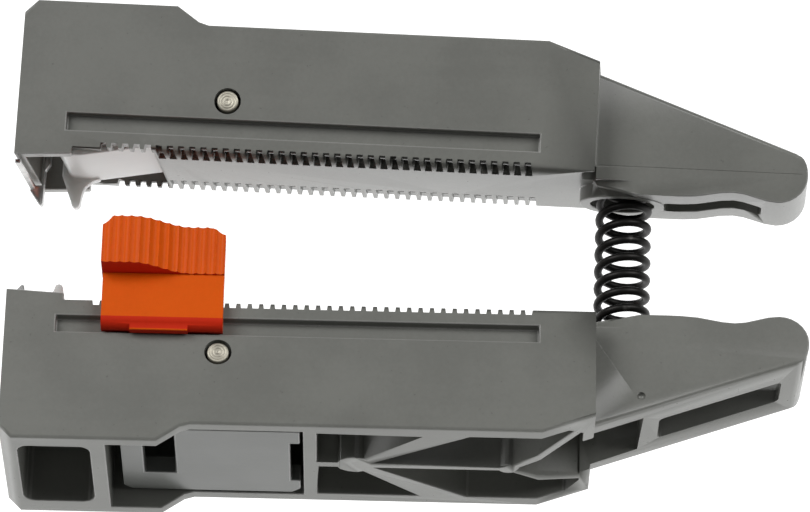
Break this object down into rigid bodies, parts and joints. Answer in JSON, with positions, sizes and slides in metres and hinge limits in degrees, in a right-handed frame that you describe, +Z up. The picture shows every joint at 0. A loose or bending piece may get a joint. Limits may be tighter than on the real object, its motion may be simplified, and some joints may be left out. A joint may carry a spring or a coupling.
{
  "type": "wire stripper jaw cassettes",
  "caption": "Pair of toothed jaw cassettes of an automatic wire stripper, held apart by a coil spring, with a sliding length stop.",
  "frame": {"origin": "middle of the flat side face that the lower cassette lies on, 30 mm behind its front edge and 7 mm behind its tooth tips", "axes": "+X from the mouth to the tail, +Y from the lower cassette to the upper one (the way the jaws open), +Z up, out of the face the lower cassette lies on"},
  "size_m": [0.0817, 0.0527, 0.0245],
  "materials": {
    "housing": "moulded grey polyamide, fine satin grain",
    "holder": "moulded lighter grey acetal, satin",
    "claw": "translucent off-white plastic",
    "steel": "ground bright steel",
    "spring": "black phosphated spring steel, satin",
    "stop": "moulded orange plastic, slightly translucent"
  },
  "bodies": {
    "lower_cassette": {"lower_housing": "housing", "lower_strip_blade": "steel", "lower_pivot_pin": "steel", "lower_holder_spring": "spring"},
    "lower_holder": {"lower_blade_holder": "holder", "lower_grip_claw": "claw"},
    "stop": {"length_stop": "stop"},
    "spring_link": {"main_spring": "spring"},
    "upper_cassette": {"upper_housing": "housing", "upper_strip_blade": "steel", "upper_pivot_pin": "steel", "upper_holder_spring": "spring"},
    "upper_holder": {"upper_blade_holder": "holder", "upper_grip_claw": "claw"}
  },
  "joints": [
    {"name": "jaw_close", "type": "slide", "parent": "lower_cassette", "child": "spring_link", "axis": [0, -1, 0], "range_m": [0, 0.012], "stiffness_N_per_m": 1200, "deforming": ["main_spring"]},
    {"name": "jaw_level", "type": "hinge", "parent": "spring_link", "child": "upper_cassette", "pos_m": [0.03173, 0.0149, 0.009], "axis": [-0.9664, 0.1958, 0.1664], "range_deg": [0, 15.72]},
    {"name": "stop_slide", "type": "slide", "parent": "lower_cassette", "child": "stop", "axis": [1, 0, 0], "range_m": [-0.0042, 0.031]},
    {"name": "lower_holder_rock", "type": "hinge", "parent": "lower_cassette", "child": "lower_holder", "pos_m": [-0.0085, 0.00155, 0.009], "axis": [0, 0, 1], "range_deg": [0, 1.2], "stiffness_Nm_per_rad": 0.01},
    {"name": "upper_holder_rock", "type": "hinge", "parent": "upper_cassette", "child": "upper_holder", "pos_m": [-0.00799, 0.03155, 0.01107], "axis": [0.0592, 0.2611, -0.9635], "range_deg": [0, 1.2], "stiffness_Nm_per_rad": 0.01}
  ],
  "couplings": [
    {"joint": "jaw_level", "follows": "jaw_close", "rad_per_m": 22.86}
  ]
}
